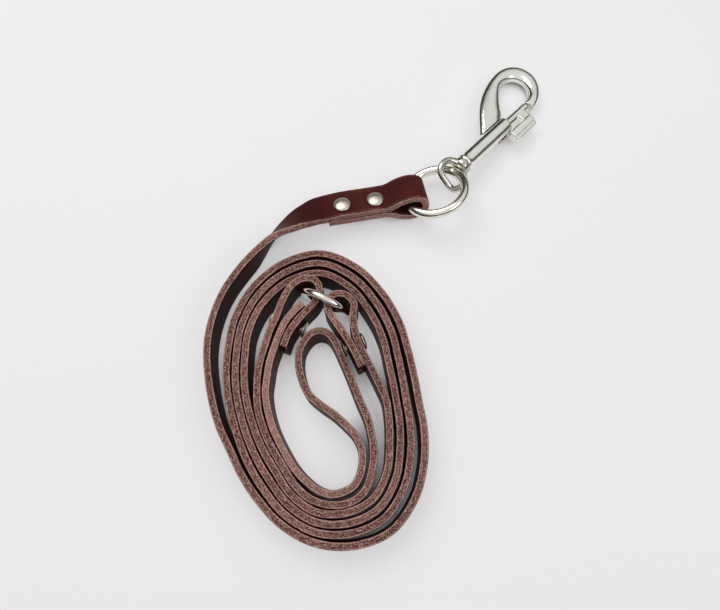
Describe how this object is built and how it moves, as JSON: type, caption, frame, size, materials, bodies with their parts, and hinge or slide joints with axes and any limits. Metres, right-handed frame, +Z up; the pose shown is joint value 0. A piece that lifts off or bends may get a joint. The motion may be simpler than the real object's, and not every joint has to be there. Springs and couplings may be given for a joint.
{
  "type": "training leash",
  "caption": "Leather training leash wound in an oval coil on its cut edge, its hand loop joined by a ring, and a swivel bolt snap held by a larger ring.",
  "frame": {"origin": "under the middle of the bounding box, on the surface that the coil stands on", "axes": "+Z up, +Y along the longest side from the coil to the snap, +X to the right with the coil nearest"},
  "size_m": [0.176, 0.2602, 0.027],
  "materials": {
    "leather": "satin dressed bridle leather with raw pinkish cut edges",
    "nickel": "bright nickel plate",
    "spring_steel": "drawn wire"
  },
  "bodies": {
    "strap": {"main_strap": "leather", "handle_strap": "leather", "snap_end_rivet_posts": "nickel", "snap_end_rivet_caps": "nickel", "strap_rivet_post": "nickel", "strap_rivet_cap": "nickel", "handle_rivet_post": "nickel", "handle_rivet_cap": "nickel"},
    "ring_small": {"small_ring": "nickel"},
    "ring_big": {"big_ring": "nickel"},
    "eye": {"swivel_eye": "nickel", "swivel_retainer": "nickel"},
    "snap": {"snap_body": "nickel", "swivel_collar": "nickel", "bolt_spring": "spring_steel"},
    "bolt": {"snap_bolt": "nickel"}
  },
  "joints": [
    {"name": "small_ring_spin", "type": "hinge", "parent": "strap", "child": "ring_small", "pos_m": [-0.031, -0.01585, 0.0135], "axis": [-0.4434, -0.8855, -0.1392], "continuous": true},
    {"name": "big_ring_swing", "type": "hinge", "parent": "strap", "child": "ring_big", "pos_m": [0.01181, 0.04363, 0.0099], "axis": [0.1661, -0.9418, 0.2924], "range_deg": [0, 90]},
    {"name": "eye_swing", "type": "hinge", "parent": "ring_big", "child": "eye", "pos_m": [0.0359, 0.05686, 0.01218], "axis": [0.6909, -0.6358, 0.344], "range_deg": [0, 90]},
    {"name": "snap_swivel", "type": "hinge", "parent": "eye", "child": "snap", "pos_m": [0.04074, 0.06201, 0.01146], "axis": [0.681, 0.7252, -0.1011], "continuous": true},
    {"name": "bolt_slide", "type": "slide", "parent": "snap", "child": "bolt", "axis": [-0.681, -0.7252, 0.1011], "range_m": [0, 0.008], "stiffness_N_per_m": 250, "springref_m": -0.012}
  ]
}
